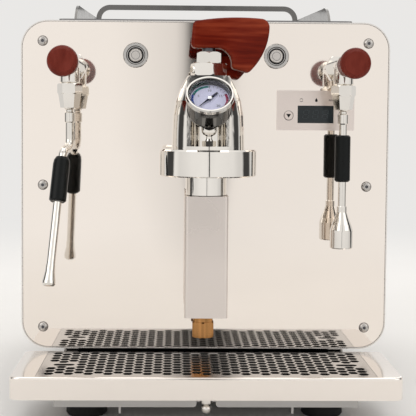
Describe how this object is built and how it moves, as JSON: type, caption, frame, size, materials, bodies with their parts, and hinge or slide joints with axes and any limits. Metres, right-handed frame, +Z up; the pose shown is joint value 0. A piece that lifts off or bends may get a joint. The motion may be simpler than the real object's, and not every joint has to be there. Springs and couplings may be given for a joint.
{
  "type": "espresso machine",
  "caption": "Countertop espresso machine with group, flow paddle, gauge, steam and hot-water wands, drip tray, display, cup rail and lift-out water tank.",
  "frame": {"origin": "centre of the footprint box, on the surface the machine stands on", "axes": "+X to the right seen from the front, +Y to the back, +Z up; the front faces -Y"},
  "size_m": [0.367, 0.4712, 0.434],
  "materials": {
    "casing_steel": "satin",
    "base_steel": "satin",
    "polished_panel": "mirror polished",
    "satin_steel": "fine satin",
    "chrome_group": "polished",
    "bright_fittings": "polished",
    "dark_fittings": "satin",
    "dark_shelf": "satin",
    "foot_rubber": "matte",
    "seal_rubber": "matte",
    "grip_rubber": "matte",
    "black_plastic": "matte",
    "seat_plastic": "matte",
    "tank_plastic": "matte",
    "handle_wood": "oiled, fine horizontal grain",
    "dial_white": "matte",
    "needle_navy": "matte",
    "clear_glass": "polished",
    "display_dark": "gloss",
    "drain_brass": "polished",
    "boiler_brass": "satin",
    "pipe_brass": "satin",
    "motor_paint": "satin"
  },
  "bodies": {
    "machine": {"base_frame": "base_steel", "body_shell": "casing_steel", "front_panel": "polished_panel", "rear_panel": "casing_steel", "rubber_feet": "foot_rubber", "panel_screws": "bright_fittings", "power_inlet": "black_plastic", "group_body": "chrome_group", "group_collar": "chrome_group", "group_gasket": "seal_rubber", "shower_screen": "satin_steel", "group_top_nut": "chrome_group", "paddle_gland": "chrome_group", "exhaust_chamber": "chrome_group", "column_cover": "satin_steel", "drain_nut": "drain_brass", "gauge_adapter": "chrome_group", "gauge_case": "chrome_group", "gauge_dial": "dial_white", "gauge_glass": "clear_glass", "steam_valve_body": "chrome_group", "water_valve_body": "chrome_group", "steam_wand_nut": "bright_fittings", "water_wand_nut": "bright_fittings", "power_button_bezel": "bright_fittings", "brew_button_bezel": "bright_fittings", "display_plate": "satin_steel", "display_window": "display_dark", "inner_deck": "base_steel", "boiler": "boiler_brass", "copper_pipes": "pipe_brass", "pump_motor": "motor_paint", "pump": "pipe_brass", "control_box": "black_plastic"},
    "lid": {"cup_shelf": "dark_shelf", "cup_rail": "polished_panel"},
    "tank": {"water_tank": "tank_plastic"},
    "tray": {"drip_tray": "polished_panel", "tray_ball": "bright_fittings"},
    "grid": {"drip_grid": "satin_steel"},
    "paddle": {"wood_paddle": "handle_wood", "paddle_spindle": "dark_fittings"},
    "needle": {"gauge_needle": "needle_navy"},
    "steam_tap": {"steam_knob": "handle_wood", "steam_valve_stem": "bright_fittings"},
    "water_tap": {"water_knob": "handle_wood", "water_valve_stem": "bright_fittings"},
    "steam_swivel": {"steam_wand_seat": "seat_plastic"},
    "steam_wand": {"steam_wand_tube": "bright_fittings", "steam_wand_grip": "grip_rubber", "steam_wand_tip": "bright_fittings"},
    "water_swivel": {"water_wand_seat": "seat_plastic"},
    "water_wand": {"water_wand_tube": "bright_fittings", "water_wand_grip": "grip_rubber", "water_wand_nozzle": "bright_fittings"},
    "power_button": {"power_button_cap": "bright_fittings"},
    "brew_button": {"brew_button_cap": "bright_fittings"},
    "key_down": {"display_key_down": "bright_fittings"},
    "key_up": {"display_key_up": "bright_fittings"}
  },
  "joints": [
    {"name": "paddle_turn", "type": "hinge", "parent": "machine", "child": "paddle", "pos_m": [0, -0.18077, 0.35], "axis": [0, 0, 1], "range_deg": [-180, 0]},
    {"name": "steam_knob_turn", "type": "hinge", "parent": "machine", "child": "steam_tap", "pos_m": [-0.1315, -0.18677, 0.338], "axis": [0, 1, 0], "range_deg": [0, 270]},
    {"name": "water_knob_turn", "type": "hinge", "parent": "machine", "child": "water_tap", "pos_m": [0.1315, -0.18677, 0.338], "axis": [0, 1, 0], "range_deg": [0, 270]},
    {"name": "steam_wand_swivel", "type": "hinge", "parent": "machine", "child": "steam_swivel", "pos_m": [-0.1315, -0.13477, 0.3005], "axis": [0, 0, 1], "range_deg": [-75, 75]},
    {"name": "steam_wand_tilt", "type": "hinge", "parent": "steam_swivel", "child": "steam_wand", "pos_m": [-0.1315, -0.13477, 0.3005], "axis": [1, 0, 0], "range_deg": [-25, 20]},
    {"name": "water_wand_swivel", "type": "hinge", "parent": "machine", "child": "water_swivel", "pos_m": [0.1315, -0.13477, 0.3005], "axis": [0, 0, 1], "range_deg": [-60, 60]},
    {"name": "water_wand_tilt", "type": "hinge", "parent": "water_swivel", "child": "water_wand", "pos_m": [0.1315, -0.13477, 0.3005], "axis": [1, 0, 0], "range_deg": [-25, 8]},
    {"name": "power_press", "type": "slide", "parent": "machine", "child": "power_button", "axis": [0, 1, 0], "range_m": [0, 0.002], "stiffness_N_per_m": 1500},
    {"name": "brew_press", "type": "slide", "parent": "machine", "child": "brew_button", "axis": [0, 1, 0], "range_m": [0, 0.002], "stiffness_N_per_m": 1500},
    {"name": "key_down_press", "type": "slide", "parent": "machine", "child": "key_down", "axis": [0, 1, 0], "range_m": [0, 0.0005], "stiffness_N_per_m": 1200},
    {"name": "key_up_press", "type": "slide", "parent": "machine", "child": "key_up", "axis": [0, 1, 0], "range_m": [0, 0.0005], "stiffness_N_per_m": 1200},
    {"name": "tray_slide", "type": "slide", "parent": "machine", "child": "tray", "axis": [0, -1, 0], "range_m": [0, 0.11]},
    {"name": "grid_lift", "type": "slide", "parent": "tray", "child": "grid", "axis": [0, 0, 1], "range_m": [0, 0.02]},
    {"name": "lid_lift", "type": "slide", "parent": "machine", "child": "lid", "axis": [0, 0, 1], "range_m": [0, 0.06]},
    {"name": "tank_lift", "type": "slide", "parent": "machine", "child": "tank", "axis": [0, 0, 1], "range_m": [0, 0.02]},
    {"name": "gauge_needle_turn", "type": "hinge", "parent": "machine", "child": "needle", "pos_m": [0, -0.22177, 0.3095], "axis": [0, -0.7431, 0.6691], "range_deg": [-270, 0]}
  ]
}
